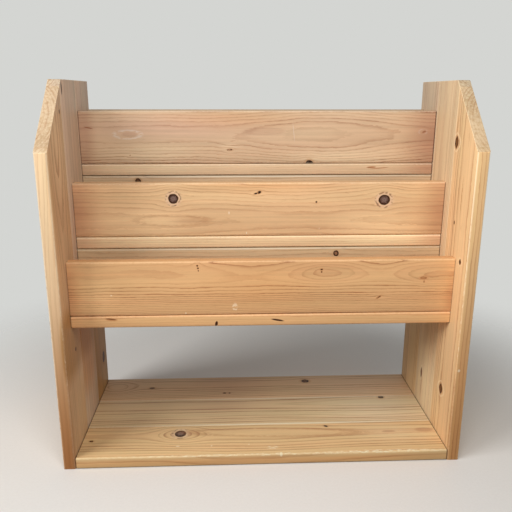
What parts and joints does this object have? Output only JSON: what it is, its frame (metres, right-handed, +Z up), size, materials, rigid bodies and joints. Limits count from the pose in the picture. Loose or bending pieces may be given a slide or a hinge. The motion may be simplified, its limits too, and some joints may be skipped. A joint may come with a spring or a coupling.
{
  "type": "picture book rack",
  "caption": "Low wooden rack that shows picture books face on in stepped ledges between two chamfered sides, over an open floor shelf.",
  "frame": {"origin": "middle of the footprint, on the floor", "axes": "+X to the right seen from the front, +Y to the back, +Z up; books face -Y"},
  "size_m": [0.634, 0.2676, 0.594],
  "materials": {
    "side_wood": "planed softwood under a thin satin clear coat",
    "shelf_wood": "planed softwood under a thin satin clear coat",
    "rail_wood": "planed softwood under a thin satin clear coat",
    "floor_wood": "planed softwood under a thin satin clear coat",
    "riser_wood": "planed softwood under a thin satin clear coat",
    "screw_steel": "zinc plated wood screw"
  },
  "bodies": {
    "root": {"left_side_front_board": "side_wood", "left_side_middle_board": "side_wood", "left_side_rear_board": "side_wood", "right_side_front_board": "side_wood", "right_side_middle_board": "side_wood", "right_side_rear_board": "side_wood", "shelf_front_board": "shelf_wood", "shelf_middle_board": "shelf_wood", "shelf_rear_board": "shelf_wood", "front_tier_rail": "rail_wood", "middle_tier_rail": "rail_wood", "rear_tier_rail": "rail_wood", "back_rail": "rail_wood", "front_tier_floor": "floor_wood", "middle_tier_floor": "floor_wood", "rear_tier_floor": "floor_wood", "middle_tier_riser": "riser_wood", "rear_tier_riser": "riser_wood", "shelf_front_board_left_screw_1": "screw_steel", "shelf_front_board_right_screw_1": "screw_steel", "shelf_middle_board_left_screw_1": "screw_steel", "shelf_middle_board_right_screw_1": "screw_steel", "shelf_rear_board_left_screw_1": "screw_steel", "shelf_rear_board_right_screw_1": "screw_steel", "front_tier_rail_left_screw_1": "screw_steel", "front_tier_rail_left_screw_2": "screw_steel", "front_tier_rail_right_screw_1": "screw_steel", "front_tier_rail_right_screw_2": "screw_steel", "middle_tier_rail_left_screw_1": "screw_steel", "middle_tier_rail_left_screw_2": "screw_steel", "middle_tier_rail_right_screw_1": "screw_steel", "middle_tier_rail_right_screw_2": "screw_steel", "rear_tier_rail_left_screw_1": "screw_steel", "rear_tier_rail_left_screw_2": "screw_steel", "rear_tier_rail_right_screw_1": "screw_steel", "rear_tier_rail_right_screw_2": "screw_steel", "back_rail_left_screw_1": "screw_steel", "back_rail_left_screw_2": "screw_steel", "back_rail_right_screw_1": "screw_steel", "back_rail_right_screw_2": "screw_steel", "front_tier_floor_left_screw_1": "screw_steel", "front_tier_floor_left_screw_2": "screw_steel", "front_tier_floor_right_screw_1": "screw_steel", "front_tier_floor_right_screw_2": "screw_steel", "middle_tier_floor_left_screw_1": "screw_steel", "middle_tier_floor_left_screw_2": "screw_steel", "middle_tier_floor_right_screw_1": "screw_steel", "middle_tier_floor_right_screw_2": "screw_steel", "rear_tier_floor_left_screw_1": "screw_steel", "rear_tier_floor_left_screw_2": "screw_steel", "rear_tier_floor_right_screw_1": "screw_steel", "rear_tier_floor_right_screw_2": "screw_steel", "middle_tier_riser_left_screw_1": "screw_steel", "middle_tier_riser_left_screw_2": "screw_steel", "middle_tier_riser_right_screw_1": "screw_steel", "middle_tier_riser_right_screw_2": "screw_steel", "rear_tier_riser_left_screw_1": "screw_steel", "rear_tier_riser_left_screw_2": "screw_steel", "rear_tier_riser_right_screw_1": "screw_steel", "rear_tier_riser_right_screw_2": "screw_steel"}
  },
  "joints": []
}
